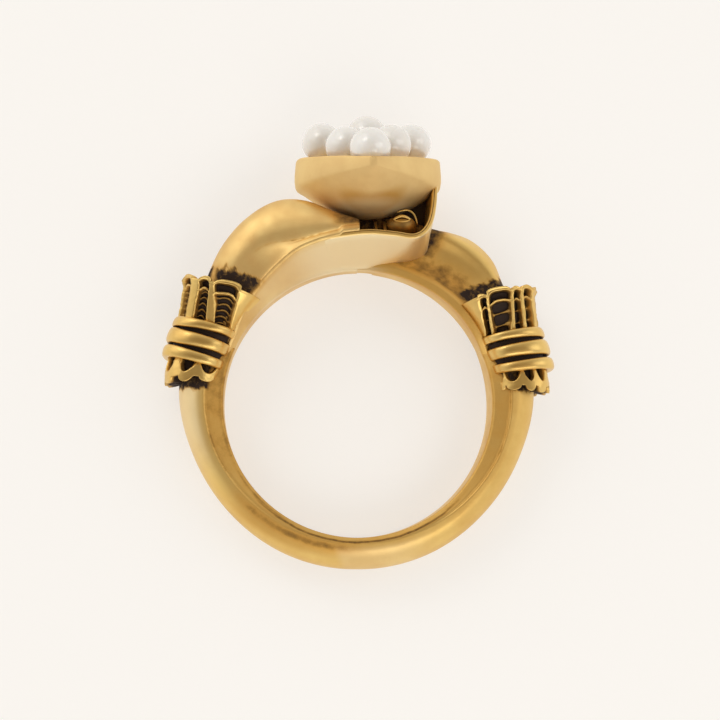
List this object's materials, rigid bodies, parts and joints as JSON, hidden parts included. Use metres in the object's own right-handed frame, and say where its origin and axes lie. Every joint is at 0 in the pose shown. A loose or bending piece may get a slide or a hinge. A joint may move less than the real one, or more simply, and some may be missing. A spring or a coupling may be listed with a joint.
{
  "type": "bypass finger ring with an arrowhead bezel of pearls",
  "caption": "Gold bypass finger ring with fluted bound shoulders, a curled ribbon and a pointed bezel set with domed rows of pearls.",
  "frame": {"origin": "centre of the finger hole, half way along it", "axes": "+Z along the finger hole, towards the end with the curled ribbon and the bezel's tip; +Y from the finger hole to the bezel; +X to the right cuff"},
  "size_m": [0.0248, 0.0293, 0.0093],
  "materials": {
    "gold": "polished yellow gold with dark patina in the recesses",
    "pearl": "soft white nacre"
  },
  "bodies": {
    "root": {"ring_body": "gold", "pearl_tip": "pearl", "pearl_left_inner": "pearl", "pearl_right_inner": "pearl", "pearl_left_outer": "pearl", "pearl_middle": "pearl", "pearl_right_outer": "pearl"}
  },
  "joints": []
}
